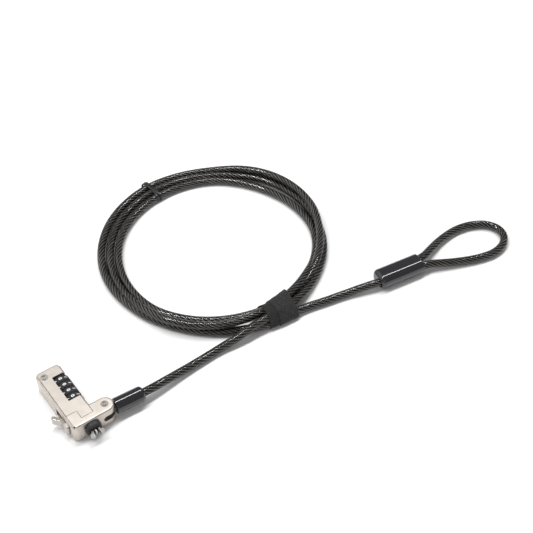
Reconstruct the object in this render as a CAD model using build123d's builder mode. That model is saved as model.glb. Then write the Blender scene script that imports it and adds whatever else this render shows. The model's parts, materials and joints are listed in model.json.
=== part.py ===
"""Combination cable lock for laptops: a die-cast L-shaped lock with four number wheels, a thumb lever and spreading
hooks, and a coil of jacketed steel cable with an eye at its far end.

The lock lies flat. +Z is up from its base, +X runs along the short arm toward the cable and +Y along the long arm with
the number wheels. The origin is below the middle of the lock with its cable boot, on the surface that it lies on.
All lengths are in millimetres.
"""

import os
from math import atan2, cos, degrees, hypot, pi, radians, sin, tan

from build123d import *

os.makedirs("parts", exist_ok=True)

# Driving dimensions of the die-cast housing
arm_height = 14.0  # base to top face
arm_width = 16.5  # long arm, across X
arm_length = 49.0  # long arm, along Y
short_width = 11.0  # short arm, across Y
pivot_reach = 24.1  # from the lever side to the cable pivot
boot_end_reach = 49.629  # from the lever side to the far end of the turned cable boot
lever_reach = 5.7  # lever tip beyond the lever side
nose_reach = 7.264  # hook tips in front of the front face
edge_round = 1.2  # outer edges of the housing
cover_floor = 12.4  # height of the ledge that the cover lies on
seam = 0.25  # visible joint between the cover and the base
wall = 2.3  # lever-side wall

# The origin is at the middle of the lock's plan
side_x = -(boot_end_reach - lever_reach) / 2  # outer face on the lever side
front_y = -(arm_length - nose_reach) / 2  # front face, which the nose stands out of

# Wheels and the axis that wheels, spindle and nose share
axis_x = side_x + 12.0
axis_z = 7.2
wheel_count = 4
wheel_pitch = 5.2
wheel_width = 4.9
wheel_radius = 6.2
wheel_flat = 6.0  # from the axis to each number's flat
digits = 10
first_wheel_y = front_y + 22.4
wheel_ys = [first_wheel_y + n * wheel_pitch for n in range(wheel_count)]
bay_start = wheel_ys[0] - 2.8
bay_end = wheel_ys[-1] + 2.8
bay_radius = wheel_radius + 0.35
window_x = side_x + 7.9  # edge of the window on the top face

# Code sleeve inside each wheel
sleeve_radius = 3.85
wheel_bore = 3.95
sleeve_bore = 2.75
web_half = 0.4  # half the thickness of the web that carries the gates
web_bore = 1.7
gate_width = 1.6
key_reach = 4.6
key_slot_reach = 4.75

# Spindle and the slide that the lever moves
spindle_radius = 1.6
fin_reach = 2.55
fin_width = 1.2

# Lever: pivot, arm that moves the slide, and press angle
lever_pivot = (side_x - 0.5, front_y + 7.4)
lever_arm = 5.5
lever_angle = 13.0
lever_low, lever_high = 4.0, 9.4
slot_low, slot_high = 3.7, 9.7  # lever slot in the side wall
travel = lever_arm * sin(radians(lever_angle))  # of the slide and the spindle

# Nose: spreading hooks beside a fixed blade
hook_pivot_x = 1.9  # to each side of the axis
hook_pivot_y = front_y + 4.8
hook_spread = 6.5  # degrees from closed to spread
hook_half = 1.35  # half the height of a hook
hook_tip_y = -12.0  # from the pivot to the closed hook's tip
blade_half = 0.45

# Cable pivot at the end of the short arm
pivot_x = side_x + pivot_reach
pivot_y = front_y + short_width / 2
gap_low, gap_high = 4.9, 9.1  # fork gap
pivot_z = (gap_low + gap_high) / 2
pin_radius = 1.6
screw_head = 2.4
tang_half = 1.85
tang_radius = 2.7
boot_turn = -4.0  # degrees that the cable's end of the anchor is turned about the pivot at rest
boot_start = pivot_x + 6.0
boot_end = pivot_x + 25.4
boot_radius = 5.05

# Cable: jacket over steel strand, wound in a coil and ending in an eye
cable_d = 5.5
cable_r = cable_d / 2
coil_centre = (side_x + 156.0, front_y + 84.0)
coil_outer = 80.7
coil_inner = 63.2
coil_height = 10.5  # where the turns lie in two layers
layer_height = 5.8  # where they lie side by side
stack_start, stack_end = -132.0, 74.0  # angles of the two-layer part
ferrule_angle = -7.8
ferrule_centre = (side_x + 240.7, front_y - 9.5)
ferrule_length = 33.2
ferrule_width = 14.2
ferrule_height = 11.0
eye_spacing = 2.95  # each cable of the eye, to the side of the ferrule's middle


def save(piece, name):
    """Labels a finished piece and writes it under its own name."""
    piece.part.label = name
    export_step(piece.part, f"parts/{name}.step")


def at(x, y):
    """A point measured from the lever-side face and the front face."""
    return (side_x + x, front_y + y)


def box_between(low, high, mode=Mode.ADD):
    """A box from its low corner to its high corner."""
    size = [b - a for a, b in zip(low, high)]
    middle = tuple((a + b) / 2 for a, b in zip(low, high))
    with Locations(middle):
        Box(*size, mode=mode)


def along_y(x, z, y):
    """A plane across the Y direction at y, with its own x along -X and its own y along +Z."""
    return Plane(origin=(x, y, z), x_dir=(-1, 0, 0), z_dir=(0, 1, 0))


def along_x(x, y, z):
    """A plane across the X direction at x, with its own x along +Y and its own y along +Z."""
    return Plane(origin=(x, y, z), x_dir=(0, 1, 0), z_dir=(1, 0, 0))


def bar_y(x, z, y_low, y_high, radius, mode=Mode.ADD):
    """A round bar or bore along Y."""
    with BuildSketch(along_y(x, z, y_low)) as section:
        Circle(radius)
    extrude(section.sketch, amount=y_high - y_low, mode=mode)


def bar_x(y, z, x_low, x_high, radius, mode=Mode.ADD):
    """A round bar or bore along X."""
    with BuildSketch(along_x(x_low, y, z)) as section:
        Circle(radius)
    extrude(section.sketch, amount=x_high - x_low, mode=mode)


def bar_z(x, y, z_low, z_high, radius, mode=Mode.ADD):
    """A round bar or bore along Z."""
    with BuildSketch(Plane.XY.offset(z_low)) as section:
        with Locations((x, y)):
            Circle(radius)
    extrude(section.sketch, amount=z_high - z_low, mode=mode)


# ---- Housing -------------------------------------------------------------------------------------------------


def housing_outline():
    """The L in plan: the long arm with rounded corners and the short arm with a round end at the cable pivot."""
    with Locations((side_x + arm_width / 2, front_y + arm_length / 2)):
        RectangleRounded(arm_width, arm_length, 3.0)
    with Locations(((side_x + 4 + pivot_x) / 2, pivot_y)):
        Rectangle(pivot_x - side_x - 4, short_width)
    with Locations((pivot_x, pivot_y)):
        Circle(short_width / 2)


with BuildPart() as outer_form:
    with BuildSketch(Plane.XY):
        housing_outline()
        inner_corner = vertices().sort_by_distance(at(arm_width, short_width) + (0,))[0]
        fillet(inner_corner, 1.0)
    extrude(amount=arm_height)
    fillet(faces().sort_by(Axis.Z)[-1].edges(), edge_round)
    fillet(faces().sort_by(Axis.Z)[0].edges(), edge_round)


def cover_outline(gap):
    """The cover in plan, with the step near the corner. gap widens it all round, except at the far end."""
    left, right, far = 1.3 - 1.8 * gap, arm_width - 0.7 + 1.4 * gap, arm_length + 1
    step_x, near_left, near_right = 8.2 - gap, 10.8 - gap, 4.8 - gap
    with BuildLine() as outline:
        Polyline(
            at(left, far), at(left, near_left), at(step_x, near_left), at(step_x, near_right),
            at(right, near_right), at(right, far), close=True,
        )
    make_face(outline.edges())


def cut_wheel_bay():
    """The round trough that the wheels turn in, open through the side, with room for the detent spring."""
    bar_y(axis_x, axis_z, bay_start, bay_end, bay_radius, Mode.SUBTRACT)
    box_between((side_x + 5.35, bay_start, axis_z), (side_x + arm_width + 1, bay_end, arm_height + 1), Mode.SUBTRACT)
    box_between((side_x + 3.6, bay_start - 0.7, 4.2), (side_x + 6.2, bay_end + 0.2, cover_floor), Mode.SUBTRACT)
    bar_y(axis_x, axis_z, bay_start - 0.8, bay_start + 0.1, sleeve_radius + 0.35, Mode.SUBTRACT)
    bar_y(axis_x, axis_z, front_y + 17.3, bay_start, spindle_radius + 0.15, Mode.SUBTRACT)


def cut_mechanism_bay():
    """Rooms for the slide, its arm and spring, the nose body and the lever."""
    x, y = side_x, front_y
    box_between((x + wall, y + 8.1, 3.6), (x + 15.35, y + 17.4, 11.2), Mode.SUBTRACT)
    box_between((x + wall, y + 11.2, 11.0), (x + 15.35, y + 17.4, arm_height), Mode.SUBTRACT)
    box_between((x + 8.6, y + 5.2, 11.0), (x + 15.35, y + 11.4, arm_height), Mode.SUBTRACT)
    box_between((x + 3.9, y + 2.4, slot_low), (x + 7.3, y + 8.4, slot_high), Mode.SUBTRACT)
    box_between((axis_x - 4.7, y + 1.2, 3.1), (axis_x + 4.7, y + 8.2, 11.2), Mode.SUBTRACT)
    box_between((axis_x - 4.05, y - 1, axis_z - 2.85), (axis_x + 4.05, y + 1.3, axis_z + 2.85), Mode.SUBTRACT)
    box_between((x - 1, y + 5.3, slot_low), (x + 4.0, y + 9.7, slot_high), Mode.SUBTRACT)
    box_between((x - 1, y + 9.6, slot_low), (x + 3.1, y + 22.5, slot_high), Mode.SUBTRACT)


def cut_fork_gap():
    """The gap for the knuckle, round at its inner end."""
    half = (gap_high - gap_low) / 2
    with BuildSketch(along_y(side_x + 22.0, pivot_z, front_y - 1)) as gap:
        Circle(half)
        with Locations((-6, 0)):
            Rectangle(12, 2 * half)
    extrude(gap.sketch, amount=short_width + 2, mode=Mode.SUBTRACT)


with BuildPart() as base:
    add(outer_form.part)
    with BuildSketch(Plane.XY.offset(cover_floor)):
        cover_outline(seam)
    extrude(amount=arm_height, mode=Mode.SUBTRACT)
    cut_wheel_bay()
    cut_mechanism_bay()
    cut_fork_gap()
    for z_low, z_high in ((slot_low - 1.2, slot_low), (slot_high, slot_high + 1.2)):
        bar_z(*lever_pivot, z_low, z_high, 1.5)
        box_between((lever_pivot[0], lever_pivot[1] - 1.5, z_low), (side_x + 0.6, lever_pivot[1] + 1.5, z_high))
    bar_z(*lever_pivot, slot_low - 1.3, slot_high + 1.3, 0.62, Mode.SUBTRACT)
    bar_z(*lever_pivot, slot_high + 1.2, slot_high + 1.8, 1.1, Mode.SUBTRACT)
    # bore for the spindle's far end and the reset screw
    bar_y(axis_x, axis_z, bay_end - 0.1, front_y + arm_length + 1, 2.3, Mode.SUBTRACT)
    # holes for the cover screw and the cable pivot
    bar_z(*at(4.2, 43.6), 4.5, arm_height, 1.07, Mode.SUBTRACT)
    bar_z(pivot_x, pivot_y, 1.4, arm_height, pin_radius + 0.02, Mode.SUBTRACT)
    bar_z(pivot_x, pivot_y, arm_height - 1.3, arm_height + 1, screw_head + 0.06, Mode.SUBTRACT)
    # seam along the lever side, which ends in a small square pocket at the corner
    seam_low = at(1.3 - 1.8 * seam, 1.0)
    box_between(seam_low + (arm_height - 1.2,), at(1.3, 10.7) + (arm_height + 1,), Mode.SUBTRACT)
    box_between(at(0.9, 0.75) + (arm_height - 2.4,), at(1.9, 1.75) + (arm_height + 1,), Mode.SUBTRACT)
save(base, "housing_base")

with BuildPart() as cover:
    add(outer_form.part)
    with BuildSketch(Plane.XY.offset(cover_floor)):
        cover_outline(0)
    extrude(amount=arm_height, mode=Mode.INTERSECT)
    box_between((window_x, bay_start, 0), (side_x + arm_width + 1, bay_end, arm_height + 1), Mode.SUBTRACT)
    bar_z(*at(4.2, 43.6), 0, arm_height, 1.3, Mode.SUBTRACT)
    bar_z(*at(4.2, 43.6), arm_height - 1.0, arm_height + 1, screw_head + 0.06, Mode.SUBTRACT)
    # index line that the code is read along
    box_between(at(12.1, 13.2) + (arm_height - 0.2,), at(12.7, 17.6) + (arm_height + 1,), Mode.SUBTRACT)
save(cover, "housing_cover")


def one_way_screw(x, y, z_low, head_low, shank):
    """A screw or pin along Z with a one-way recess in its round head, which is flush with the top face."""
    with BuildPart() as screw:
        bar_z(0, 0, z_low, arm_height - 0.05, shank)
        bar_z(0, 0, head_low, arm_height - 0.05, screw_head)
        with BuildSketch(Plane.XY.offset(arm_height - 0.05)):
            for start in (20, 200):
                with BuildLine():
                    wing(start)
                make_face()
        extrude(amount=-0.7, mode=Mode.SUBTRACT)
    screw.part.locate(Location((x, y, 0)))
    return screw


def wing(start):
    """One wing of a one-way recess: a 110 degree piece of a ring."""
    sweep_angle, inner, outer = 110, 0.8, 1.85
    first = (cos(radians(start)), sin(radians(start)))
    last = (cos(radians(start + sweep_angle)), sin(radians(start + sweep_angle)))
    Line((inner * first[0], inner * first[1]), (outer * first[0], outer * first[1]))
    CenterArc((0, 0), outer, start, sweep_angle)
    Line((outer * last[0], outer * last[1]), (inner * last[0], inner * last[1]))
    CenterArc((0, 0), inner, start, sweep_angle)


save(one_way_screw(*at(4.2, 43.6), 4.8, arm_height - 0.95, 1.05), "cover_screw")
save(one_way_screw(pivot_x, pivot_y, 1.5, arm_height - 1.25, pin_radius), "pivot_pin")

# ---- Number wheels -------------------------------------------------------------------------------------------


def number_wheel(y):
    """A wheel with ten number flats, grip grooves between them and ten keyways for the code sleeve."""
    half = wheel_width / 2
    flat_to_corner = wheel_flat / cos(radians(180 / digits))
    with BuildPart() as wheel:
        with BuildSketch(along_y(axis_x, axis_z, y - half)):
            RegularPolygon(flat_to_corner, digits, rotation=90 + 180 / digits)
            Circle(wheel_radius, mode=Mode.INTERSECT)
            with PolarLocations(wheel_radius + 0.15, digits, start_angle=90 + 180 / digits):
                Circle(0.75, mode=Mode.SUBTRACT)
        extrude(amount=wheel_width)
        rims = faces().filter_by(Axis.Y).edges()
        chamfer(rims, 0.35)
        bar_y(axis_x, axis_z, y - half - 1, y + half + 1, wheel_bore, Mode.SUBTRACT)
        with BuildSketch(along_y(axis_x, axis_z, y + 0.3)):
            with PolarLocations(0, digits, start_angle=90):
                with Locations((key_slot_reach / 2, 0)):
                    Rectangle(key_slot_reach, 1.3)
        extrude(amount=half, mode=Mode.SUBTRACT)
        bar_y(axis_x, axis_z, y - 1.3, y + 0.3, key_slot_reach + 0.05, Mode.SUBTRACT)
    return wheel


def code_sleeve(y):
    """A sleeve that turns with its wheel by one key, with a gated web that the spindle's fins have to pass."""
    with BuildPart() as sleeve:
        bar_y(axis_x, axis_z, y - 2.1, y + 2.3, sleeve_radius)
        box_between((axis_x - 0.5, y + 0.45, axis_z), (axis_x + 0.5, y + 1.1, axis_z + key_reach))
        bar_y(axis_x, axis_z, y - 2.2, y - web_half, sleeve_bore, Mode.SUBTRACT)
        bar_y(axis_x, axis_z, y + web_half, y + 2.4, sleeve_bore, Mode.SUBTRACT)
        bar_y(axis_x, axis_z, y - 1, y + 1, web_bore, Mode.SUBTRACT)
        with BuildSketch(along_y(axis_x, axis_z, y - 1)):
            Rectangle(gate_width, 2 * sleeve_bore + 0.2)
        extrude(amount=2, mode=Mode.SUBTRACT)
    return sleeve


for number, wheel_y in enumerate(wheel_ys, start=1):
    save(number_wheel(wheel_y), f"number_wheel_{number}")
    save(code_sleeve(wheel_y), f"code_sleeve_{number}")


def coil_spring(x, y_low, y_high, z, mean_radius, wire, turns):
    """A compression spring along Y."""
    length = y_high - y_low - wire
    with BuildPart() as spring:
        with BuildLine() as path:
            Helix(length / turns, length, mean_radius, center=(x, y_low + wire / 2, z), direction=(0, 1, 0))
        with BuildSketch(Plane(origin=path.line @ 0, z_dir=path.line % 0)):
            Circle(wire / 2)
        sweep(is_frenet=True)
    return spring


save(coil_spring(axis_x, bay_start - 0.75, wheel_ys[0] - web_half - 0.05, axis_z, 2.2, 0.4, 3), "sleeve_spring")

with BuildPart() as spindle:
    bar_y(axis_x, axis_z, front_y + 16.5, front_y + 43.0, spindle_radius)
    bar_y(axis_x, axis_z, front_y + 14.3, front_y + 16.6, 1.2)
    bar_y(axis_x, axis_z, front_y + 13.1, front_y + 14.4, 2.4)
    for wheel_y in wheel_ys:
        fin_low = (axis_x - fin_width / 2, wheel_y + 0.65, axis_z - fin_reach)
        box_between(fin_low, (axis_x + fin_width / 2, wheel_y + 2.05, axis_z + fin_reach))
    chamfer(faces().sort_by(Axis.Y)[-1].edges(), 0.3)
save(spindle, "locking_spindle")

with BuildPart() as reset_screw:
    bar_y(axis_x, axis_z, front_y + 41.2, front_y + 48.7, 2.22)
    bar_y(axis_x, axis_z, front_y + 41.0, front_y + 44.6, spindle_radius + 0.15, Mode.SUBTRACT)
    box_between((axis_x - 3, front_y + 47.9, axis_z - 0.4), (axis_x + 3, front_y + 49, axis_z + 0.4), Mode.SUBTRACT)
    # slanted inner end, the cam that pushes the sleeves out of their keyways
    cam = Plane(origin=(axis_x, front_y + 41.65, axis_z), x_dir=(1, 0, 0), z_dir=(0.2, -1, 0))
    split(bisect_by=cam, keep=Keep.BOTTOM)
save(reset_screw, "reset_screw")


def detent_spring():
    """A leaf strip with one bowed finger for each wheel's grip grooves."""
    strip_x, leaf = side_x + 3.65, 0.3
    with BuildPart() as spring:
        box_between((strip_x, bay_start - 0.6, 6.0), (strip_x + leaf, bay_end + 0.1, 8.4))
        with BuildSketch(Plane.XY.offset(6.2)):
            for wheel_y in wheel_ys:
                bow = (side_x + 5.6 - strip_x, 2.0)
                with BuildLine():
                    ThreePointArc((strip_x + 0.1, wheel_y - bow[1]), (strip_x + bow[0], wheel_y),
                                  (strip_x + 0.1, wheel_y + bow[1]))
                    Line((strip_x + 0.1, wheel_y + bow[1]), (strip_x + 0.1, wheel_y + bow[1] - 0.45))
                    ThreePointArc((strip_x + 0.1, wheel_y + bow[1] - 0.45), (strip_x + bow[0] - leaf, wheel_y),
                                  (strip_x + 0.1, wheel_y - bow[1] + 0.45))
                    Line((strip_x + 0.1, wheel_y - bow[1] + 0.45), (strip_x + 0.1, wheel_y - bow[1]))
                make_face()
        extrude(amount=2.0)
    return spring


save(detent_spring(), "detent_spring")

# ---- Lever and slide -----------------------------------------------------------------------------------------


def lever_outline():
    """The lever in plan, about its pivot: a boss, the inner arm, the thumb arm along the wall and its turned-out tip."""
    root, tip = (-0.65, 6.0), (-4.0, 10.2)
    Circle(1.8)
    with Locations((lever_arm / 2, 0)):
        Rectangle(lever_arm, 1.5)
    with Locations((lever_arm, 0)):
        Circle(0.85)
    with Locations((-0.625, 3.0)):
        Rectangle(2.35, 6.0)
    with Locations(((root[0] + tip[0]) / 2, (root[1] + tip[1]) / 2)):
        lean = degrees(atan2(tip[1] - root[1], tip[0] - root[0]))
        SlotCenterToCenter(hypot(tip[0] - root[0], tip[1] - root[1]), 2.4, rotation=lean)


with BuildPart() as lever:
    with BuildSketch(Plane(origin=lever_pivot + (lever_low,))):
        lever_outline()
        fillet(vertices().sort_by_distance((-1.8, 5.5, 0))[0], 4.0)
    extrude(amount=lever_high - lever_low)
    fillet(faces().sort_by(Axis.Z)[-1].edges(), 0.4)
    fillet(faces().sort_by(Axis.Z)[0].edges(), 0.4)
    bar_z(*lever_pivot, lever_low - 1, lever_high + 1, 0.65, Mode.SUBTRACT)
save(lever, "thumb_lever")

with BuildPart() as lever_pin:
    bar_z(*lever_pivot, slot_low - 1.2, slot_high + 1.25, 0.6)
    bar_z(*lever_pivot, slot_high + 1.2, slot_high + 1.65, 0.95)
    fillet(faces().sort_by(Axis.Z)[-1].edges(), 0.3)
save(lever_pin, "lever_pin")


def wedge_outline():
    """The slide's wedge in plan, which drives the hooks' tails apart."""
    tail_y, at_tail, slope = front_y + 8.9, 1.3, 0.36
    near, far = front_y + 7.9, front_y + 11.0
    half = [at_tail + slope * (y - tail_y) for y in (near, far)]
    with BuildLine() as outline:
        Polyline(
            (axis_x - half[0], near), (axis_x + half[0], near), (axis_x + half[1], far), (axis_x - half[1], far),
            close=True,
        )
    make_face(outline.edges())


with BuildPart() as slide:
    x, y = side_x, front_y
    box_between((x + 7.7, y + 9.6, 3.9), (x + 15.0, y + 16.4, 10.4))
    box_between((x + 4.4, y + 9.7, 4.3), (x + 8.0, y + 12.5, 9.1))
    box_between((x + 4.4, y + 5.7, 4.3), (x + 7.0, y + 12.5, 9.1))
    box_between((x + 4.0, y + 6.3, 4.0), (x + 6.1, y + 8.5, 9.4), Mode.SUBTRACT)
    # room for the hooks' tails, around the wedge
    box_between((axis_x - 3.9, y + 9.0, axis_z - 1.6), (axis_x + 4.0, y + 10.9, axis_z + 1.6), Mode.SUBTRACT)
    with BuildSketch(Plane.XY.offset(axis_z - 1.3)):
        wedge_outline()
    extrude(amount=2.6)
    # pocket and slot that hold the spindle's flange and neck
    box_between((axis_x - 2.6, y + 13.0, axis_z - 2.5), (axis_x + 2.6, y + 14.5, 11), Mode.SUBTRACT)
    box_between((axis_x - 1.3, y + 14.4, axis_z - 1.3), (axis_x + 1.3, y + 17, 11), Mode.SUBTRACT)
save(slide, "locking_slide")

save(coil_spring(side_x + 5.6, front_y + 2.45, front_y + 5.65, 6.7, 0.95, 0.32, 4), "slide_spring")

# ---- Nose ----------------------------------------------------------------------------------------------------

with BuildPart() as nose:
    box_between((axis_x - 4.6, front_y + 1.25, 3.2), (axis_x + 4.6, front_y + 8.0, 11.1))
    with BuildSketch(along_y(axis_x, axis_z, front_y - 2.4)):
        RectangleRounded(8.0, 5.6, 1.2)
    extrude(amount=3.8)
    box_between((axis_x - 3.3, front_y - 3, axis_z - 1.55), (axis_x + 3.3, front_y + 1.5, axis_z + 1.55), Mode.SUBTRACT)
    box_between((axis_x - 3.8, front_y + 1.4, axis_z - 1.55), (axis_x + 3.8, front_y + 9, axis_z + 1.55), Mode.SUBTRACT)
    box_between((axis_x - blade_half, front_y - 0.5, axis_z - 1.7), (axis_x + blade_half, front_y + 2.4, axis_z + 1.7))
    box_between((axis_x - blade_half, front_y - 5.2, axis_z - 1.3), (axis_x + blade_half, front_y, axis_z + 1.3))
    for side in (-1, 1):
        bar_z(axis_x + side * hook_pivot_x, hook_pivot_y, 3.0, 11.3, 0.72, Mode.SUBTRACT)
save(nose, "nose_body")

with BuildPart() as hook_pins:
    for side in (-1, 1):
        bar_z(axis_x + side * hook_pivot_x, hook_pivot_y, 3.3, 11.0, 0.7)
save(hook_pins, "hook_pins")

with BuildPart() as collar:
    with BuildSketch(along_y(axis_x, axis_z, front_y - 2.9)):
        Rectangle(9.8, 9.8)
        chamfer(vertices(), 2.6)
        fillet(vertices(), 0.7)
    extrude(amount=2.9)
    fillet(faces().sort_by(Axis.Y)[0].edges(), 0.5)
    with BuildSketch(along_y(axis_x, axis_z, front_y - 2.45)):
        RectangleRounded(8.1, 5.7, 1.25)
    extrude(amount=3, mode=Mode.SUBTRACT)
    with BuildSketch(along_y(axis_x, axis_z, front_y - 4)):
        RectangleRounded(6.7, 3.5, 0.8)
    extrude(amount=3, mode=Mode.SUBTRACT)
save(collar, "nose_collar")


def hook_point(side, x, y):
    """A point of a spread hook, given as it is on the closed hook: outward from the pin and toward the rear."""
    spread = radians(hook_spread)
    turned = (x * cos(spread) - y * sin(spread), x * sin(spread) + y * cos(spread))
    return (axis_x + side * (hook_pivot_x + turned[0]), hook_pivot_y + turned[1])


def hook(side):
    """One hook at rest, spread about its pin. side is 1 toward the cable and -1 away from it."""
    front = [(-1.25, 0), (-1.25, hook_tip_y), (0.5, hook_tip_y), (1.3, hook_tip_y + 0.8), (1.3, hook_tip_y + 1.8)]
    front += [(0.1, hook_tip_y + 2.2), (0.1, -1.0), (1.2, 0)]
    tail = [(-0.6, 1.2), (0.05, 4.1), (1.3, 4.1), (1.4, 0.4)]
    with BuildPart() as piece:
        with BuildSketch(Plane.XY.offset(axis_z - hook_half)):
            with BuildLine():
                Polyline(*[hook_point(side, *point) for point in front], close=True)
            make_face()
            with BuildLine():
                Polyline(*[hook_point(side, *point) for point in tail], close=True)
            make_face()
            with Locations((axis_x + side * hook_pivot_x, hook_pivot_y)):
                Circle(1.6)
                Circle(0.76, mode=Mode.SUBTRACT)
        extrude(amount=2 * hook_half)
        fillet(faces().sort_by(Axis.Y)[0].edges().filter_by(Axis.Z, reverse=True), 0.3)
    return piece


save(hook(-1), "hook_left")
save(hook(1), "hook_right")

# ---- Cable anchor --------------------------------------------------------------------------------------------


def turned(piece):
    """Turns a finished piece of the anchor about the pivot to the angle that it rests at."""
    piece.part = piece.part.rotate(Axis((pivot_x, pivot_y, 0), (0, 0, 1)), boot_turn)
    return piece


with BuildPart() as knuckle:
    bar_z(pivot_x, pivot_y, pivot_z - tang_half, pivot_z + tang_half, tang_radius)
    box_between(
        (pivot_x, pivot_y - tang_radius, pivot_z - tang_half), (pivot_x + 7.6, pivot_y + tang_radius, pivot_z + tang_half)
    )
    bar_x(pivot_y, pivot_z, pivot_x + 6.2, pivot_x + 13.0, 3.7)
    bar_x(pivot_y, pivot_z, pivot_x + 8.0, pivot_x + 11.6, 2.75, Mode.SUBTRACT)
    bar_x(pivot_y, pivot_z, pivot_x + 11.0, pivot_x + 13.1, 1.72, Mode.SUBTRACT)
    bar_z(pivot_x, pivot_y, 0, arm_height, pin_radius + 0.05, Mode.SUBTRACT)
save(turned(knuckle), "pivot_knuckle")

with BuildPart() as stud:
    bar_x(pivot_y, pivot_z, pivot_x + 8.3, pivot_x + 11.3, 2.5)
    bar_x(pivot_y, pivot_z, pivot_x + 11.0, pivot_x + 13.6, 1.64)
    bar_x(pivot_y, pivot_z, pivot_x + 13.3, pivot_x + 22.3, 3.95)
    bar_x(pivot_y, pivot_z, pivot_x + 15.5, pivot_x + 22.4, cable_r + 0.05, Mode.SUBTRACT)
save(turned(stud), "swivel_stud")

with BuildPart() as boot:
    bar_x(pivot_y, pivot_z, boot_start, boot_end, boot_radius)
    fillet(faces().sort_by(Axis.X)[-1].edges(), 2.4)
    fillet(faces().sort_by(Axis.X)[0].edges(), 0.6)
    bar_x(pivot_y, pivot_z, boot_start - 1, pivot_x + 22.4, 4.05, Mode.SUBTRACT)
    bar_x(pivot_y, pivot_z, pivot_x + 22, boot_end + 1, cable_r + 0.05, Mode.SUBTRACT)
save(turned(boot), "cable_boot")

# ---- Cable ---------------------------------------------------------------------------------------------------

ferrule_along = (cos(radians(ferrule_angle)), sin(radians(ferrule_angle)))
ferrule_across = (-ferrule_along[1], ferrule_along[0])
ferrule_z = ferrule_height / 2


def in_ferrule(along, across):
    """A point at cable height, measured from the ferrule's middle."""
    return (
        ferrule_centre[0] + along * ferrule_along[0] + across * ferrule_across[0],
        ferrule_centre[1] + along * ferrule_along[1] + across * ferrule_across[1],
        ferrule_z,
    )


def route(*points):
    """Cable points measured from the lever side, the front face and the surface."""
    return [(side_x + x, front_y + y, z) for x, y, z in points]


def on_boot_axis(reach):
    """A point on the turned boot's axis, at a distance from the pivot."""
    return (pivot_x + reach * cos(radians(boot_turn)), pivot_y + reach * sin(radians(boot_turn)), pivot_z)


lead_route = [on_boot_axis(17.6), on_boot_axis(28.4)] + route(
    (65.8, 4.85, 5.3), (80.0, 6.2, 3.5), (94.0, 7.1, 2.85), (108.0, 7.8, 2.85), (118.6, 6.9, 4.9),
    (127.5, 6.8, 6.8), (135.2, 7.2, 8.0), (141.5, 7.0, 8.6),
)
tail_route = route((168.9, 4.0, 3.4), (183.0, 1.2, 2.9), (198.0, -1.6, 2.85), (212.0, -4.7, 3.9)) + [
    in_ferrule(-ferrule_length / 2 - 4.2, -eye_spacing), in_ferrule(-ferrule_length / 2 + 3.4, -eye_spacing)
]
eye_route = (
    [in_ferrule(ferrule_length / 2 - 3.4, -eye_spacing), in_ferrule(ferrule_length / 2 + 4.2, -eye_spacing)]
    + route(
        (272.4, -20.9, 4.1), (285.0, -26.3, 3.0), (296.6, -30.7, 2.85), (307.3, -32.4, 2.85), (316.6, -30.6, 2.85),
        (322.8, -25.7, 2.85), (325.1, -19.5, 2.85), (323.9, -13.4, 2.85), (319.2, -7.4, 2.85), (310.6, -2.6, 2.85),
        (298.9, -0.4, 2.85), (285.8, -1.9, 3.1), (273.6, -5.3, 4.4),
    )
    + [in_ferrule(ferrule_length / 2 + 4.2, eye_spacing), in_ferrule(ferrule_length / 2 - 3.4, eye_spacing)]
)


def bend_radii(points):
    """For each inner point, 0.45 of its shorter run divided by the tangent of half its turn."""
    radii = []
    for before, here, after in zip(points, points[1:], points[2:]):
        first = Vector(*here) - Vector(*before)
        second = Vector(*after) - Vector(*here)
        turn = first.get_angle(second)
        radii.append(0.45 * min(first.length, second.length) / tan(radians(turn / 2)))
    return radii


def cable(points, name):
    """A plain round cable along straight runs joined by tangent arcs, with its volume compared with its length."""
    radii = bend_radii(points)
    with BuildPart() as tube:
        with BuildLine() as path:
            FilletPolyline(*points, radius=radii)
        with BuildSketch(Plane(origin=path.line @ 0, z_dir=path.line % 0)):
            Circle(cable_r)
        sweep()
    length = sum(edge.length for edge in path.line.edges())
    ratio = tube.part.volume / (length * pi * cable_r**2)
    lowest = tube.part.bounding_box().min.Z
    print(f"{name} length {length:.1f} volume ratio {ratio:.4f} lowest {lowest:.2f} radii", [round(r) for r in radii])
    return tube


save(cable(lead_route, "cable_lead"), "cable_lead")
save(cable(tail_route, "cable_tail"), "cable_tail")
save(cable(eye_route, "cable_eye"), "cable_eye")


def band(centre, angle, inside, rounding, width, thickness):
    """A closed flat band that stands across the coil. inside is its clear width and height, width is along the cable."""
    plane = Plane(origin=(centre[0], centre[1], inside[1] / 2 + thickness), x_dir=(-sin(angle), cos(angle), 0),
                  z_dir=(cos(angle), sin(angle), 0))
    with BuildPart() as loop:
        with BuildSketch(plane.offset(-width / 2)):
            RectangleRounded(inside[0] + 2 * thickness, inside[1] + 2 * thickness, rounding + thickness)
            RectangleRounded(*inside, rounding, mode=Mode.SUBTRACT)
        extrude(amount=width)
    return loop


strap = band(at(155.0, 9.0), radians(-4.5), (21.2, 11.0), 3.0, 21.5, 1.2)
save(strap, "cable_strap")

with BuildPart() as tie:
    for lean in (-3, 14):
        add(band(at(149.1, 155.6), radians(lean), (18.4, 6.0), 2.5, 2.0, 0.6).part)
save(tie, "cable_tie")


def coil_section(start, height):
    """The coil's cross-section, standing at an angle round it."""
    heading = (cos(radians(start)), sin(radians(start)), 0)
    plane = Plane(origin=coil_centre + (0,), x_dir=heading, z_dir=(heading[1], -heading[0], 0))
    with BuildSketch(plane) as section:
        with Locations(((coil_inner + coil_outer) / 2, height / 2)):
            RectangleRounded(coil_outer - coil_inner, height, 2.6)
    return section.sketch


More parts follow.
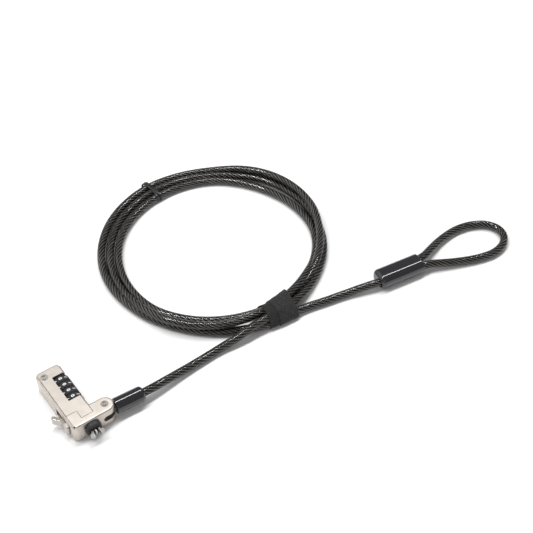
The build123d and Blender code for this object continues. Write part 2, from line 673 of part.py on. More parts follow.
with BuildPart() as coil:
    # one layer of turns all round, and two layers where the turns cross
    coil_axis = Axis(coil_centre + (0,), (0, 0, 1))
    revolve(coil_section(0, layer_height), axis=coil_axis)
    revolve(coil_section(stack_start, coil_height), axis=coil_axis, revolution_arc=stack_end - stack_start)
    add(strap.part, mode=Mode.SUBTRACT)
    add(tie.part, mode=Mode.SUBTRACT)
save(coil, "cable_coil")

ferrule_plane = Plane(origin=in_ferrule(0, 0), x_dir=ferrule_across + (0,), z_dir=ferrule_along + (0,))
half_length = ferrule_length / 2
with BuildPart() as sleeve:
    with BuildSketch(ferrule_plane.offset(-half_length)):
        RectangleRounded(ferrule_width, ferrule_height, 4.9)
    extrude(amount=ferrule_length)
    ends = faces().sort_by(Axis(in_ferrule(0, 0), ferrule_along + (0,)))
    fillet(ends[0].edges(), 3.0)
    fillet(ends[-1].edges(), 0.8)
    with BuildSketch(ferrule_plane.offset(-half_length + 3.5)):
        RectangleRounded(11.9, 7.1, 3.0)
    extrude(amount=ferrule_length - 7.0, mode=Mode.SUBTRACT)
    with BuildSketch(ferrule_plane.offset(-half_length - 1)):
        with Locations((-eye_spacing, 0)):
            Circle(cable_r + 0.05)
    extrude(amount=6, mode=Mode.SUBTRACT)
    with BuildSketch(ferrule_plane.offset(half_length - 5)):
        with Locations((-eye_spacing, 0), (eye_spacing, 0)):
            Circle(cable_r + 0.05)
    extrude(amount=6, mode=Mode.SUBTRACT)
save(sleeve, "ferrule_sleeve")

with BuildPart() as crimp:
    with BuildSketch(ferrule_plane.offset(-half_length + 3.6)):
        RectangleRounded(11.8, 7.0, 2.95)
    extrude(amount=ferrule_length - 7.2)
save(crimp, "ferrule_crimp")
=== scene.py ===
"""Looks for the laptop cable lock. Lengths in the tables are millimetres, measured from the lock's lever side, its
front face and the floor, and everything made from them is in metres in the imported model's frame."""

import json
import math

import bmesh
import bpy
import numpy as np
from mathutils import Matrix, Vector


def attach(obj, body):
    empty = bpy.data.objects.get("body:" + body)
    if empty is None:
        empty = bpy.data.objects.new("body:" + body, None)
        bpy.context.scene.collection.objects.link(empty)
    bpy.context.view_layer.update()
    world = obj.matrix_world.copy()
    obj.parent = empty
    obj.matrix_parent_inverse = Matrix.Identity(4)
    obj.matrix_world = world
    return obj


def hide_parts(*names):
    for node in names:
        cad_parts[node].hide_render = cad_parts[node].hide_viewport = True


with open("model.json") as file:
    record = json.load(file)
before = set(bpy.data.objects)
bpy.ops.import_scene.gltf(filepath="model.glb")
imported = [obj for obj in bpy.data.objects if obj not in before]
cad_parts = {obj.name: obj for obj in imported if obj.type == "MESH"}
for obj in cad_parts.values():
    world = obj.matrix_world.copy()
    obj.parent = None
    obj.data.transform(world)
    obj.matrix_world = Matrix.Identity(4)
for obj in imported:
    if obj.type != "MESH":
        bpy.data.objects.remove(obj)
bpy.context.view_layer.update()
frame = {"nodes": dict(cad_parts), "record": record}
nodes = frame["nodes"]
scene = bpy.context.scene

SIDE_X, FRONT_Y = -21.9645, -20.868  # lever side and front face of the lock in the frame, mm
CABLE_D = 5.5
CABLE_R = CABLE_D / 2
COIL_X, COIL_Y = 156.0, 84.0
FERRULE_X, FERRULE_Y, FERRULE_Z = 240.7, -9.5, 5.5
FERRULE_ANGLE = math.radians(-7.8)
FERRULE_HALF = 16.6
EYE_SPACING = 2.95


def place(x, y, z):
    """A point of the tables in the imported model's frame, in metres."""
    return Vector((SIDE_X + x, FRONT_Y + y, z)) / 1000.0


def in_ferrule(along, across):
    """A point at cable height in the ferrule, from its middle, as a table point."""
    c, s = math.cos(FERRULE_ANGLE), math.sin(FERRULE_ANGLE)
    return (FERRULE_X + along * c - across * s, FERRULE_Y + along * s + across * c, FERRULE_Z)


# ---- Camera --------------------------------------------------------------------------------------------------

camera_data = bpy.data.cameras.new("camera")
camera_data.sensor_width = 36.0
camera_data.lens = 74.3
camera_data.clip_start = 0.01
camera_data.clip_end = 20.0
camera = bpy.data.objects.new("camera", camera_data)
scene.collection.objects.link(camera)
eye_point, aim_point = Vector((-0.14536, -0.3842, 0.5467)), Vector((0.15284, 0.0293, 0.0))
camera.location = eye_point
camera.rotation_euler = (aim_point - eye_point).to_track_quat("-Z", "Y").to_euler()
scene.camera = camera

# ---- Cable route ---------------------------------------------------------------------------------------------

LEAD = [
    (41.66, 4.27, 7.0), (52.43, 3.52, 7.0), (65.8, 4.85, 5.3), (80.0, 6.2, 3.5), (94.0, 7.1, 2.78), (108.0, 7.8, 2.85),
    (118.6, 6.9, 4.9), (127.5, 6.8, 6.8), (135.2, 7.2, 8.0), (142.5, 7.0, 8.6), (150.0, 7.4, 8.2), (156.0, 7.7, 8.0),
]
# angle round the coil in degrees, radius and height of the cable's middle
TURNS = [
    (-80, 74.8, 6.0), (-70, 73.8, 4.0), (-60, 73.4, 2.9), (-50, 73.6, 2.75), (-36, 74.4, 2.75), (0, 74.7, 2.75),
    (20, 74.9, 2.75), (30, 74.4, 2.75), (40, 73.2, 2.75), (50, 72.2, 2.75), (60, 71.9, 2.75), (82, 71.6, 2.8),
    (95, 71.6, 3.35), (108, 71.8, 2.8), (150, 72.4, 2.75), (170, 72.9, 2.75), (180, 73.2, 2.9), (190, 73.9, 4.5),
    (200, 75.0, 7.0), (210, 76.2, 8.2), (225, 76.2, 8.25), (240, 75.2, 8.25), (250, 73.4, 8.25), (260, 71.8, 8.5),
    (270, 70.4, 8.8), (280, 69.2, 8.3), (290, 68.2, 7.3), (300, 67.5, 5.8), (310, 68.0, 3.4), (320, 68.7, 2.75),
    (330, 69.3, 2.75), (340, 69.6, 2.75), (350, 68.8, 2.75), (360, 67.9, 2.75), (370, 67.0, 2.75), (380, 66.2, 2.75),
    (390, 65.9, 2.75), (400, 66.0, 2.75), (410, 66.4, 2.75), (420, 66.6, 2.75), (430, 66.2, 2.75), (442, 65.7, 2.8),
    (455, 65.3, 3.35), (468, 65.3, 2.8), (480, 65.5, 2.75), (500, 66.2, 2.75), (520, 66.9, 2.75), (530, 67.4, 2.75),
    (540, 67.9, 2.75), (550, 68.4, 2.75), (560, 68.9, 2.75), (570, 68.3, 2.75), (580, 67.6, 2.75), (590, 67.0, 2.75),
    (600, 66.5, 2.75), (612, 66.4, 2.9), (620, 66.8, 3.3), (630, 67.8, 3.95), (640, 68.8, 3.95), (650, 69.6, 3.9),
    (658, 70.3, 4.8), (670, 70.9, 7.0), (684, 71.8, 7.5), (700, 73.4, 8.1), (710, 75.3, 8.1), (720, 76.6, 7.8),
    (730, 77.5, 7.6), (740, 77.7, 7.6), (750, 77.6, 7.2), (760, 77.4, 6.2), (770, 77.1, 4.5), (780, 76.9, 3.0),
    (790, 76.9, 2.75), (802, 77.0, 2.8), (815, 77.4, 3.35), (828, 77.8, 2.8), (850, 78.2, 2.75), (870, 78.3, 2.75),
    (880, 78.3, 2.75), (890, 77.95, 2.75), (900, 77.3, 2.75), (910, 76.5, 2.75), (920, 76.3, 2.75), (930, 75.7, 2.75),
    (940, 75.8, 2.75), (950, 76.2, 2.75), (960, 76.9, 2.75), (970, 76.7, 2.75), (980, 79.3, 3.4),
]
TURN_STEP = 10.0
TAIL = [
    (156.0, 4.6, 3.95), (169.4, 3.9, 3.1), (178.5, 2.2, 2.78), (188.6, -0.1, 2.78), (196.2, -1.4, 2.78),
    (204.1, -3.2, 3.1), (211.6, -5.4, 4.3), in_ferrule(-FERRULE_HALF - 3.0, -1.7),
    in_ferrule(-8.0, -EYE_SPACING), in_ferrule(6.0, -EYE_SPACING), in_ferrule(FERRULE_HALF + 4.2, -EYE_SPACING),
]
EYE = [
    (272.4, -20.9, 4.1), (285.0, -26.3, 3.0), (296.6, -30.7, 2.78), (307.5, -32.7, 2.78), (317.0, -30.9, 2.78),
    (323.5, -25.9, 2.78), (325.9, -19.5, 2.78), (324.6, -13.1, 2.78), (319.6, -7.0, 2.78), (310.6, -2.3, 2.78),
    (298.9, -0.3, 2.78), (285.8, -1.8, 3.1), (273.6, -5.2, 4.4), in_ferrule(FERRULE_HALF + 4.2, EYE_SPACING),
    in_ferrule(8.0, EYE_SPACING),
]


def coil_points():
    """The coil's turns: the table read every TURN_STEP degrees, a little outside the line that the spline takes."""
    angles, radii, heights = (np.array(column) for column in zip(*TURNS))
    outside = 1.0 / math.cos(math.radians(TURN_STEP / 2))
    points = []
    for angle in np.arange(angles[0], angles[-1] + 0.1, TURN_STEP):
        radius = np.interp(angle, angles, radii) * outside
        height = np.interp(angle, angles, heights)
        turn = math.radians(angle)
        points.append((COIL_X + radius * math.cos(turn), COIL_Y + radius * math.sin(turn), height))
    return points


route = LEAD + coil_points() + TAIL + EYE


def make_curve(name, points, bevel, ring=4):
    """A smooth NURBS curve through table points, with a round section."""
    curve = bpy.data.curves.new(name, "CURVE")
    curve.dimensions = "3D"
    curve.bevel_depth = bevel / 1000.0
    curve.bevel_resolution = ring
    curve.use_fill_caps = bevel > 0
    spline = curve.splines.new("NURBS")
    spline.points.add(len(points) - 1)
    for knot, point in zip(spline.points, points):
        knot.co = (*place(*point), 1.0)
    spline.order_u = 3
    spline.use_endpoint_u = True
    spline.resolution_u = 14
    piece = bpy.data.objects.new(name, curve)
    scene.collection.objects.link(piece)
    return piece


def centreline(piece):
    """Points along a curve's own line, in metres."""
    bare = piece.data.copy()
    bare.bevel_depth = 0.0
    bare.splines[0].resolution_u = 24
    holder = bpy.data.objects.new("bare", bare)
    scene.collection.objects.link(holder)
    bpy.context.view_layer.update()
    mesh = bpy.data.meshes.new_from_object(holder.evaluated_get(bpy.context.evaluated_depsgraph_get()))
    line = np.array([v.co for v in mesh.vertices])
    bpy.data.objects.remove(holder)
    bpy.data.curves.remove(bare)
    bpy.data.meshes.remove(mesh)
    return line


# ---- Materials -----------------------------------------------------------------------------------------------


def shader(name, colour, metallic=0.0, roughness=0.5, **sockets):
    """A material with one Principled shader whose plain sockets are set. Returns the node tree and the shader."""
    material = bpy.data.materials.new(name)
    material.use_nodes = True
    tree = material.node_tree
    principled = tree.nodes["Principled BSDF"]
    principled.inputs["Base Color"].default_value = (*colour, 1.0)
    principled.inputs["Metallic"].default_value = metallic
    principled.inputs["Roughness"].default_value = roughness
    for socket, value in sockets.items():
        principled.inputs[socket.replace("_", " ")].default_value = value
    return material, tree, principled


def coordinates(tree, stretch=(1, 1, 1)):
    """Object coordinates in millimetres, stretched along an axis for brushed or drawn surfaces."""
    source = tree.nodes.new("ShaderNodeTexCoord")
    scaled = tree.nodes.new("ShaderNodeMapping")
    scaled.inputs["Scale"].default_value = [1000.0 * k for k in stretch]
    tree.links.new(source.outputs["Object"], scaled.inputs["Vector"])
    return scaled.outputs["Vector"]


def noise(tree, vector, scale, detail=3.0, roughness=0.55):
    """A noise texture's value."""
    texture = tree.nodes.new("ShaderNodeTexNoise")
    texture.inputs["Scale"].default_value = scale
    texture.inputs["Detail"].default_value = detail
    texture.inputs["Roughness"].default_value = roughness
    tree.links.new(vector, texture.inputs["Vector"])
    return texture.outputs["Fac"]


def ramp(tree, value, low, high, start=0.3, end=0.7):
    """Maps a value's middle range onto low to high."""
    node = tree.nodes.new("ShaderNodeMapRange")
    for socket, number in (("From Min", start), ("From Max", end), ("To Min", low), ("To Max", high)):
        node.inputs[socket].default_value = number
    tree.links.new(value, node.inputs["Value"])
    return node.outputs["Result"]


def blend_colours(tree, factor, first, second):
    """A mix of two colours by a value."""
    mix = tree.nodes.new("ShaderNodeMix")
    mix.data_type = "RGBA"
    mix.inputs["A"].default_value = (*first, 1.0)
    mix.inputs["B"].default_value = (*second, 1.0)
    tree.links.new(factor, mix.inputs["Factor"])
    return mix.outputs["Result"]


def bump(tree, principled, height, strength, depth_mm):
    """Fine relief from a height value."""
    node = tree.nodes.new("ShaderNodeBump")
    node.inputs["Strength"].default_value = strength
    node.inputs["Distance"].default_value = depth_mm / 1000.0
    tree.links.new(height, node.inputs["Height"])
    tree.links.new(node.outputs["Normal"], principled.inputs["Normal"])


def metal(name, light, dark, roughness=(0.26, 0.4), grain=(1, 1, 1), grain_scale=7.0, relief=0.004, strength=0.3):
    """Plated or machined metal: fine grain, faint cloudy colour and uneven gloss."""
    material, tree, principled = shader(name, light, metallic=1.0)
    vector = coordinates(tree, grain)
    cloud = noise(tree, coordinates(tree), 0.16, 4.0)
    fine = noise(tree, vector, grain_scale, 4.0, 0.6)
    tree.links.new(blend_colours(tree, ramp(tree, cloud, 0.0, 1.0), dark, light), principled.inputs["Base Color"])
    tree.links.new(ramp(tree, fine, *roughness), principled.inputs["Roughness"])
    bump(tree, principled, fine, strength, relief)
    return material


def moulding(name, colour, roughness=(0.25, 0.4), grain_scale=3.0, relief=0.01, strength=0.2, **sockets):
    """Moulded plastic or rubber: faint surface texture and handling marks in its gloss."""
    material, tree, principled = shader(name, colour, **sockets)
    fine = noise(tree, coordinates(tree), grain_scale, 4.0)
    marks = noise(tree, coordinates(tree), 0.35, 5.0, 0.65)
    tree.links.new(ramp(tree, marks, *roughness), principled.inputs["Roughness"])
    lighter = [min(1.0, 1.5 * c + 0.004) for c in colour]
    tree.links.new(blend_colours(tree, ramp(tree, fine, 0.0, 1.0), colour, lighter), principled.inputs["Base Color"])
    bump(tree, principled, fine, strength, relief)
    return material


NICKEL_LIGHT, NICKEL_DARK = (0.62, 0.57, 0.52), (0.52, 0.475, 0.43)
nickel = metal("satin_nickel", NICKEL_LIGHT, NICKEL_DARK, (0.34, 0.46), grain_scale=3.0, strength=0.5)
cover_nickel = metal(
    "cover_nickel", (0.60, 0.55, 0.50), NICKEL_DARK, (0.34, 0.46), (1, 0.3, 1), grain_scale=3.0, strength=0.5
)
lever_nickel = metal("lever_nickel", (0.56, 0.52, 0.48), (0.46, 0.43, 0.40), (0.16, 0.28), grain_scale=8.0)
steel = metal("machined_steel", (0.66, 0.66, 0.66), (0.54, 0.54, 0.55), (0.18, 0.34), (0.3, 1, 1), 8.0)
# dark steel for the knuckle; its near-black colour also serves as painted shade inside the fork's gap
dark_steel_and_gap_shade = metal("knuckle_steel", (0.10, 0.10, 0.105), (0.06, 0.06, 0.065), (0.3, 0.45))
hook_steel = metal("hook_steel", (0.46, 0.45, 0.43), (0.34, 0.33, 0.32), (0.2, 0.36), (1, 0.2, 1), 8.0)
screw_nickel = metal("screw_nickel", (0.72, 0.70, 0.66), (0.60, 0.58, 0.55), (0.16, 0.28), grain_scale=6.0)
spring_steel = metal("spring_steel", (0.50, 0.50, 0.52), (0.38, 0.38, 0.40), (0.25, 0.4))
brass = metal("sleeve_brass", (0.80, 0.62, 0.30), (0.68, 0.50, 0.22), (0.25, 0.4))
aluminium = metal("crimp_aluminium", (0.78, 0.79, 0.80), (0.70, 0.71, 0.72), (0.3, 0.45))
wheel_black = moulding("wheel_black", (0.012, 0.012, 0.013), (0.28, 0.42))
rubber = moulding("collar_rubber", (0.018, 0.018, 0.019), (0.55, 0.75), 4.0, 0.02, 0.35)
boot_black = moulding("boot_black", (0.006, 0.006, 0.008), (0.08, 0.16), 1.2, 0.006, 0.1, Coat_Weight=0.6)
tie_black = moulding("tie_black", (0.010, 0.010, 0.011), (0.22, 0.38), 5.0, 0.01, 0.3)
digit_white = moulding("digit_white", (0.82, 0.82, 0.80), (0.35, 0.5), 8.0, 0.004, 0.2)

finishes = {
    "housing_nickel": nickel, "cover_nickel": cover_nickel, "steel": steel, "spring_steel": spring_steel,
    "sleeve_brass": brass, "wheel_black": wheel_black, "lever_nickel": lever_nickel, "nose_nickel": nickel,
    "collar_rubber": rubber, "boot_black": boot_black, "crimp_aluminium": aluminium, "tie_black": tie_black,
}
own_finishes = {
    "pivot_knuckle": dark_steel_and_gap_shade, "cover_screw": screw_nickel, "pivot_pin": screw_nickel, "hook_left": hook_steel,
    "hook_right": hook_steel,
}
for row in frame["record"]["subparts"]:
    finish = own_finishes.get(row["node"], finishes.get(row["material_slot"]))
    if finish:
        piece = nodes[row["node"]]
        piece.data.materials.clear()
        piece.data.materials.append(finish)


# the sleeve's moulded edges are rounder than its solid's
rounded = nodes["ferrule_sleeve"].modifiers.new("rounding", "BEVEL")
rounded.width = 0.0011
rounded.segments = 4
rounded.limit_method = "ANGLE"
rounded.angle_limit = math.radians(50)


# ---- Cable ---------------------------------------------------------------------------------------------------


def jacket_material():
    """Smoke-clear jacket: it bends light round the strand and darkens with depth."""
    material, tree, principled = shader("cable_jacket", (0.66, 0.64, 0.62), roughness=0.04, IOR=1.47)
    principled.inputs["Transmission Weight"].default_value = 1.0
    smoke = tree.nodes.new("ShaderNodeVolumeAbsorption")
    smoke.inputs["Color"].default_value = (0.14, 0.125, 0.115, 1.0)
    smoke.inputs["Density"].default_value = 640.0
    tree.links.new(smoke.outputs["Volume"], tree.nodes["Material Output"].inputs["Volume"])
    return material


def strand_material():
    """Galvanised wires with painted light: painted highlights on the wires' backs, painted shade between the wires,
    and black painted shade in the grooves between the strand's bundles.
    """
    material, tree, principled = shader("cable_strand", (0.80, 0.81, 0.82), metallic=0.15, roughness=0.62)
    source = tree.nodes.new("ShaderNodeTexCoord")
    split = tree.nodes.new("ShaderNodeSeparateXYZ")
    tree.links.new(source.outputs["UV"], split.inputs["Vector"])
    fold = tree.nodes.new("ShaderNodeMath")
    fold.operation = "PINGPONG"
    fold.inputs[1].default_value = 0.5
    tree.links.new(split.outputs["Y"], fold.inputs[0])
    # painted shade: the grooves between the strand's bundles are coloured black
    painted_groove_shade = ramp(tree, fold.outputs["Value"], 0.0, 1.0, 0.14, 0.34)
    wires = tree.nodes.new("ShaderNodeTexWave")
    wires.inputs["Scale"].default_value = 1.0
    wires.inputs["Distortion"].default_value = 0.8
    turned = tree.nodes.new("ShaderNodeMapping")
    turned.inputs["Scale"].default_value = (1.4, 4.0, 1.0)
    tree.links.new(source.outputs["UV"], turned.inputs["Vector"])
    tree.links.new(turned.outputs["Vector"], wires.inputs["Vector"])
    # painted highlight and shade: pale stripes on the wires' backs, darker stripes between the wires
    painted_wire_shading = blend_colours(tree, wires.outputs["Fac"], (0.42, 0.41, 0.40), (0.90, 0.88, 0.86))
    # the black painted groove shade is mixed over the painted wire shading here
    colour = tree.nodes.new("ShaderNodeMix")
    colour.data_type = "RGBA"
    colour.inputs["B"].default_value = (0.012, 0.012, 0.012, 1.0)
    tree.links.new(painted_wire_shading, colour.inputs["A"])
    tree.links.new(painted_groove_shade, colour.inputs["Factor"])
    tree.links.new(colour.outputs["Result"], principled.inputs["Base Color"])
    bump(tree, principled, wires.outputs["Fac"], 0.6, 0.05)
    return material


def make_strand(path, radius, lobes, lay, name):
    """A twisted strand along the cable's centreline: wires that stand out of a round section and turn as they go."""
    ring, step = 6 * lobes, 0.0006
    lengths = np.concatenate([[0.0], np.cumsum(np.linalg.norm(np.diff(path, axis=0), axis=1))])
    stations = np.arange(0.0, lengths[-1], step)
    points = np.stack([np.interp(stations, lengths, path[:, k]) for k in range(3)], axis=1)
    tangents = np.gradient(points, axis=0)
    tangents /= np.linalg.norm(tangents, axis=1)[:, None]
    side = np.cross(tangents, [0.0, 0.0, 1.0])
    side /= np.linalg.norm(side, axis=1)[:, None]
    up = np.cross(side, tangents)
    around = np.linspace(0.0, 2 * math.pi, ring, endpoint=False)
    depth = np.abs(np.cos(around * lobes / 2))
    section = radius * (0.74 + 0.26 * depth)
    turn = around[None, :] + (2 * math.pi / lay) * stations[:, None]
    verts = (
        points[:, None, :]
        + section[None, :, None] * (np.cos(turn)[..., None] * side[:, None, :] + np.sin(turn)[..., None] * up[:, None, :])
    ).reshape(-1, 3)
    index = np.arange(len(stations) * ring).reshape(len(stations), ring)
    after = np.roll(index, -1, axis=1)
    quads = np.stack([index[:-1], after[:-1], after[1:], index[1:]], axis=-1).reshape(-1, 4)
    mesh = bpy.data.meshes.new(name)
    mesh.from_pydata(verts.tolist(), [], quads.tolist() + [index[0, ::-1].tolist(), index[-1].tolist()])
    uv = mesh.uv_layers.new(name="along").data
    spots = np.array([loop.vertex_index for loop in mesh.loops])
    along, round_it = stations[spots // ring] / 0.001, (spots % ring) / ring
    uv.foreach_set("uv", np.stack([along, round_it * lobes], axis=1).ravel())
    mesh.polygons.foreach_set("use_smooth", [True] * len(mesh.polygons))
    piece = bpy.data.objects.new(name, mesh)
    scene.collection.objects.link(piece)
    return piece


cable = make_curve("cable", route, CABLE_R, ring=6)
cable.data.materials.append(jacket_material())
line = centreline(cable)
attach(cable, "cable")
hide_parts("cable_lead", "cable_coil", "cable_tail", "cable_eye")
STRAND_R, BUNDLES, LAY = 0.00185, 6, -0.022  # radius and length of one full twist, m
strand = make_strand(line, STRAND_R, BUNDLES, LAY, "cable_strand")
strand.data.materials.append(strand_material())
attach(strand, "cable")

# ---- Digits --------------------------------------------------------------------------------------------------

WHEEL_X, WHEEL_Z, WHEEL_FLAT = 12.0, 7.2, 6.0
WHEEL_YS = (22.4, 27.6, 32.8, 38.0)
TOP_DIGITS = (0, 0, 0, 0)


def digit_mesh(text):
    """A plain digit as a mesh, centred, with its back at height 0, in metres."""
    font = bpy.data.curves.new("digit", "FONT")
    font.body = text
    font.size = 0.0031
    font.offset = 0.00007
    font.extrude = 0.00005
    font.resolution_u = 4
    holder = bpy.data.objects.new("digit", font)
    scene.collection.objects.link(holder)
    bpy.context.view_layer.update()
    mesh = bpy.data.meshes.new_from_object(holder.evaluated_get(bpy.context.evaluated_depsgraph_get()))
    bpy.data.objects.remove(holder)
    bpy.data.curves.remove(font)
    points = np.array([v.co for v in mesh.vertices])
    middle = (points.max(0) + points.min(0)) / 2
    mesh.transform(Matrix.Translation((-middle[0], -middle[1], 0.0)))
    return mesh


digits = [digit_mesh(str(n)) for n in range(10)]
for wheel, (y, top) in enumerate(zip(WHEEL_YS, TOP_DIGITS), start=1):
    joined = bmesh.new()
    for n in range(10):
        turn = math.radians(36.0 * ((n - top) % 10))
        out = Vector((math.sin(turn), 0.0, math.cos(turn)))
        right = Vector((0.0, 1.0, 0.0))
        up = out.cross(right)
        spot = place(WHEEL_X, y, WHEEL_Z) + out * (WHEEL_FLAT / 1000)
        stand = Matrix((right, up, out)).transposed().to_4x4()
        stand.translation = spot
        copy = digits[n].copy()
        copy.transform(stand)
        joined.from_mesh(copy)
        bpy.data.meshes.remove(copy)
    mesh = bpy.data.meshes.new(f"digits_{wheel}")
    joined.to_mesh(mesh)
    joined.free()
    mesh.materials.append(digit_white)
    piece = bpy.data.objects.new(f"digits_{wheel}", mesh)
    scene.collection.objects.link(piece)
    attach(piece, f"wheel_{wheel}")
for mesh in digits:
    bpy.data.meshes.remove(mesh)

# ---- Strap and tie -------------------------------------------------------------------------------------------

line_mm = line * 1000.0 - np.array([SIDE_X, FRONT_Y, 0.0])  # the cable's middle as table points


def near_strap(centre, along, reach):
    """The cable's points near the strap: distance along it, distance across it and height, in mm."""
    heading = np.array([math.cos(along), math.sin(along)])
    across = np.array([-heading[1], heading[0]])
    flat = line_mm[:, :2] - np.array(centre)
    spots = np.stack([flat @ heading, flat @ across, line_mm[:, 2]], axis=1)
    return spots[np.abs(spots[:, 1]) < reach]


def hull(points):
    """The convex outline of points, counterclockwise."""
    ordered = sorted(map(tuple, points))
    rounds = []
    for sweep in (ordered, ordered[::-1]):
        chain = []
        for q in sweep:
            while len(chain) > 1 and (
                (chain[-1][0] - chain[-2][0]) * (q[1] - chain[-2][1])
                - (chain[-1][1] - chain[-2][1]) * (q[0] - chain[-2][0])
            ) <= 0:
                chain.pop()
            chain.append(q)
        rounds += chain[:-1]
    return np.array(rounds)


def reach_of(outline, middle, angles):
    """Distance from the middle to a convex outline at each angle."""
    first, second = outline - middle, np.roll(outline, -1, axis=0) - middle
    edge = second - first
    distances = []
    for angle in angles:
        ray = np.array([math.cos(angle), math.sin(angle)])
        cross = ray[0] * edge[:, 1] - ray[1] * edge[:, 0]
        cross = np.where(np.abs(cross) < 1e-9, 1e-9, cross)
        t = (first[:, 0] * edge[:, 1] - first[:, 1] * edge[:, 0]) / cross
        u = (first[:, 0] * ray[1] - first[:, 1] * ray[0]) / cross
        good = (t > 0) & (u > -1e-6) & (u < 1 + 1e-6)
        distances.append(t[good].max() if good.any() else 8.0)
    return np.array(distances)


STRAP_X, STRAP_Y, STRAP_ALONG, STRAP_HALF = 155.0, 9.0, math.radians(-4.5), 10.75
STRAP_MIDDLE = np.array([0.6, 6.4])  # across and height, where the spokes of its outline start
STRAP_FLOOR = 1.2  # lowest height of its inner face, with both layers below
CLEAR_R = 3.0  # from a cable's middle to the strap
ON_FLOOR = 0.05
stations = np.linspace(-STRAP_HALF, STRAP_HALF, 23)
spokes = np.linspace(0.0, 2 * math.pi, 120, endpoint=False)
ring_angles = np.linspace(0.0, 2 * math.pi, 28, endpoint=False)
spots = near_strap((STRAP_X, STRAP_Y), STRAP_ALONG, 16.0)
reaches = []
for station in stations:
    beside = spots[np.abs(spots[:, 0] - station) < 1.6]
    circles = [
        [v + CLEAR_R * math.cos(a), max(STRAP_FLOOR, z + CLEAR_R * math.sin(a))]
        for _, v, z in beside[::3] for a in ring_angles
    ]
    reaches.append(reach_of(hull(circles), STRAP_MIDDLE, spokes))
reaches = np.array(reaches)
for _ in range(4):
    reaches = (np.vstack([reaches[:1], reaches[:-1]]) + 2 * reaches + np.vstack([reaches[1:], reaches[-1:]])) / 4
    reaches = (np.roll(reaches, 1, axis=1) + 6 * reaches + np.roll(reaches, -1, axis=1)) / 8


def add_piece(name, verts, faces, finish):
    """A smooth closed mesh that moves with the cable, from table points."""
    mesh = bpy.data.meshes.new(name)
    mesh.from_pydata([tuple(place(*point)) for point in verts], [], faces)
    shell = bmesh.new()
    shell.from_mesh(mesh)
    bmesh.ops.recalc_face_normals(shell, faces=shell.faces)
    shell.to_mesh(mesh)
    shell.free()
    mesh.polygons.foreach_set("use_smooth", [True] * len(mesh.polygons))
    mesh.materials.append(finish)
    piece = bpy.data.objects.new(name, mesh)
    scene.collection.objects.link(piece)
    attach(piece, "cable")
    return piece


def wrap(name, left, right, inner, outer, finish, steps=44):
    """A closed band of cloth round the cables. left and right give its edges at a spoke, inner and outer its faces."""
    thick = outer - inner
    edge = [(0.0, 0.5), (0.35, 0.85), (1.0, 1.0)]  # inward and outward shares of half and whole thickness
    verts, faces, rows = [], [], []
    for k, spoke in enumerate(spokes):
        low, high = left(spoke), right(spoke)
        section = [(low + e * 0.5 * thick, inner + f * thick) for e, f in edge]
        section += [(u, outer) for u in np.linspace(low + thick, high - thick, steps)]
        section += [(high - e * 0.5 * thick, inner + f * thick) for e, f in edge[::-1]]
        section += [(u, inner) for u in np.linspace(high - thick, low + thick, steps // 2)]
        row = []
        for u, offset in section:
            on_inner = offset <= inner
            wave = 0.0 if on_inner else 0.10 * math.sin(0.9 * u + 2.0 * spoke) * math.sin(3 * spoke + 0.3 * u)
            reach = np.interp(u, stations, reaches[:, k]) + offset + wave
            v = STRAP_MIDDLE[0] + reach * math.cos(spoke)
            z = STRAP_MIDDLE[1] + reach * math.sin(spoke)
            z = max(z, ON_FLOOR + thick if on_inner else ON_FLOOR)
            x = STRAP_X + u * math.cos(STRAP_ALONG) - v * math.sin(STRAP_ALONG)
            y = STRAP_Y + u * math.sin(STRAP_ALONG) + v * math.cos(STRAP_ALONG)
            row.append(len(verts))
            verts.append((x, y, z))
        rows.append(row)
    count = len(rows[0])
    for here, after in zip(rows, rows[1:] + rows[:1]):
        for j in range(count):
            n = (j + 1) % count
            faces.append((here[j], here[n], after[n], after[j]))
    return add_piece(name, verts, faces, finish)


def cloth_material(name, base, painted_glint_colour, cover):
    """Knitted nylon: rows of small loops, with pale flecks painted as highlights of fibres that catch the light."""
    material, tree, principled = shader(name, base, roughness=0.9, Sheen_Weight=0.10)
    vector = coordinates(tree)
    loops = tree.nodes.new("ShaderNodeTexVoronoi")
    loops.inputs["Scale"].default_value = 2.6
    tree.links.new(vector, loops.inputs["Vector"])
    # painted highlight: noise places pale flecks that stand in for glints on the fibres
    glint_noise = noise(tree, vector, 2.2, 5.0, 0.7)
    painted_glint_mask = ramp(tree, glint_noise, 0.0, 1.0, cover, cover + 0.16)
    tree.links.new(blend_colours(tree, painted_glint_mask, base, painted_glint_colour), principled.inputs["Base Color"])
    bump(tree, principled, loops.outputs["Distance"], 0.9, 0.25)
    return material


strap_cloth = cloth_material("strap_cloth", (0.008, 0.008, 0.009), (0.13, 0.13, 0.135), 0.54)
# painted shade: the under layer is a darker copy of the strap's cloth, with dimmer and fewer painted glints
shaded_under_cloth = cloth_material("strap_under_painted_shade", (0.006, 0.006, 0.007), (0.10, 0.10, 0.10), 0.56)
wrap(
    "strap_under", lambda a: -STRAP_HALF + 1.6 * max(0.0, math.cos(a - 0.4)), lambda a: 6.0, 0.0, 0.6, shaded_under_cloth
)
strap_over = wrap(
    "strap_over", lambda a: -3.6 - 1.8 * math.sin(a) * max(0.0, math.cos(a)), lambda a: STRAP_HALF, 0.62, 1.25,
    strap_cloth,
)
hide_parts("cable_strap")

TIE_X, TIE_Y = 149.1, 155.6
TIE_WIDTH, TIE_THICK = 1.9, 0.55


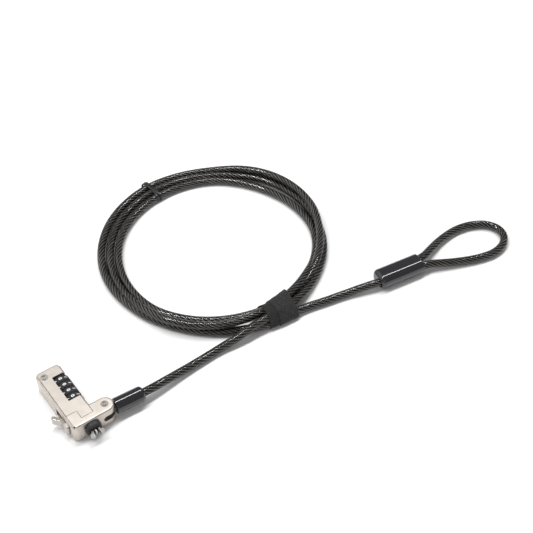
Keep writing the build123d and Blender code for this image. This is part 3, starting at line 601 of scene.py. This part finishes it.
def ribbon(name, path, width, thick, closed):
    """A thin rounded ribbon along a path of table points, each with the direction of the ribbon's width."""
    verts, faces = [], []
    count = len(path)
    half = [(0.5, 0.18), (0.42, 0.5), (-0.42, 0.5), (-0.5, 0.18)]
    section = half + [(-0.5, -0.18), (-0.42, -0.5), (0.42, -0.5), (0.5, -0.18)]
    points = np.array([point for point, _ in path], float)
    for k, (_, side) in enumerate(path):
        ahead = points[(k + 1) % count] if closed or k + 1 < count else points[k]
        behind = points[k - 1] if closed or k else points[k]
        along = (ahead - behind) / np.linalg.norm(ahead - behind)
        side = np.array(side) - np.dot(side, along) * along
        side /= np.linalg.norm(side)
        out = np.cross(along, side)
        verts += [points[k] + side * a * width + out * b * thick for a, b in section]
    n = len(section)
    for k in range(count if closed else count - 1):
        q = (k + 1) % count
        faces += [(k * n + j, k * n + (j + 1) % n, q * n + (j + 1) % n, q * n + j) for j in range(n)]
    if not closed:
        faces += [tuple(range(n))[::-1], tuple(range((count - 1) * n, count * n))]
    piece = add_piece(name, verts, faces, tie_black)
    piece.data.set_sharp_from_angle(angle=math.radians(50))
    return piece


def loop_path(lean, grow):
    """A flattened loop round the three cables, leaning by an angle from square across them."""
    across = (-math.sin(lean), math.cos(lean), 0.0)
    along = (math.cos(lean), math.sin(lean), 0.0)
    half, rise = 9.2 + grow, 2.75 + 0.35 + grow
    path = []
    for k in range(64):
        a = 2 * math.pi * k / 64
        v = math.copysign(abs(math.cos(a)) ** 0.35, math.cos(a)) * half
        z = math.copysign(abs(math.sin(a)) ** 0.6, math.sin(a)) * rise
        path.append(((TIE_X + v * across[0], TIE_Y + v * across[1], max(0.3, 3.35 + z)), along))
    return path


tie = ribbon("tie_loop", loop_path(math.radians(-3), 0.0), TIE_WIDTH, TIE_THICK, True)
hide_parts("cable_tie")
ribbon("tie_loop_2", loop_path(math.radians(15), 0.35), TIE_WIDTH, TIE_THICK, True)
for turn, name in ((0.0, "tie_end_1"), (math.pi, "tie_end_2")):
    twist = []
    for k in range(40):
        f = k / 39  # how far along the twisted end
        a = turn + 2.2 * math.pi * f
        centre = np.array([149.9 - 1.2 * f, 163.2 + 1.8 * f, 5.6 - 0.9 * f])
        side = np.array([0.55, 0.83, 0.0])
        spot = centre + 0.62 * (math.cos(a) * side + math.sin(a) * np.array([0.0, 0.0, 1.0]))
        twist.append((spot, (math.cos(a + 1.57) * side[0], math.cos(a + 1.57) * side[1], math.sin(a + 1.57))))
    ribbon(name, twist, 1.3, 0.6, False)

# ---- Studio --------------------------------------------------------------------------------------------------

floor_mesh = bpy.data.meshes.new("floor")
floor_mesh.from_pydata([(-6, -6, 0), (6, -6, 0), (6, 6, 0), (-6, 6, 0)], [], [(0, 1, 2, 3)])
floor = bpy.data.objects.new("floor", floor_mesh)
floor.location.z = -0.0002
scene.collection.objects.link(floor)
floor_material, floor_tree, floor_shader = shader("floor", (0.93, 0.93, 0.93), roughness=0.6)
floor_mesh.materials.append(floor_material)

world = bpy.data.worlds.new("studio")
scene.world = world
world.use_nodes = True
world.node_tree.nodes["Background"].inputs["Color"].default_value = (1.0, 1.0, 1.0, 1.0)
world.node_tree.nodes["Background"].inputs["Strength"].default_value = 0.33


def softbox(name, position, target, size, power):
    """A rectangular lamp that faces a point."""
    data = bpy.data.lights.new(name, "AREA")
    data.shape = "RECTANGLE"
    data.size, data.size_y = size
    data.energy = power
    lamp = bpy.data.objects.new(name, data)
    lamp.location = position
    lamp.rotation_euler = (Vector(target) - Vector(position)).to_track_quat("-Z", "Y").to_euler()
    scene.collection.objects.link(lamp)


softbox("overhead", (0.15, 0.30, 1.35), (0.15, 0.05, 0.0), (1.9, 0.18), 20.0)
softbox("key", (-0.80, 0.85, 1.0), (0.12, 0.03, 0.0), (2.2, 2.2), 11.0)
softbox("front", (-0.45, -1.2, 0.70), (0.12, 0.03, 0.0), (1.3, 0.10), 1.6)
scene.view_settings.view_transform = "Standard"
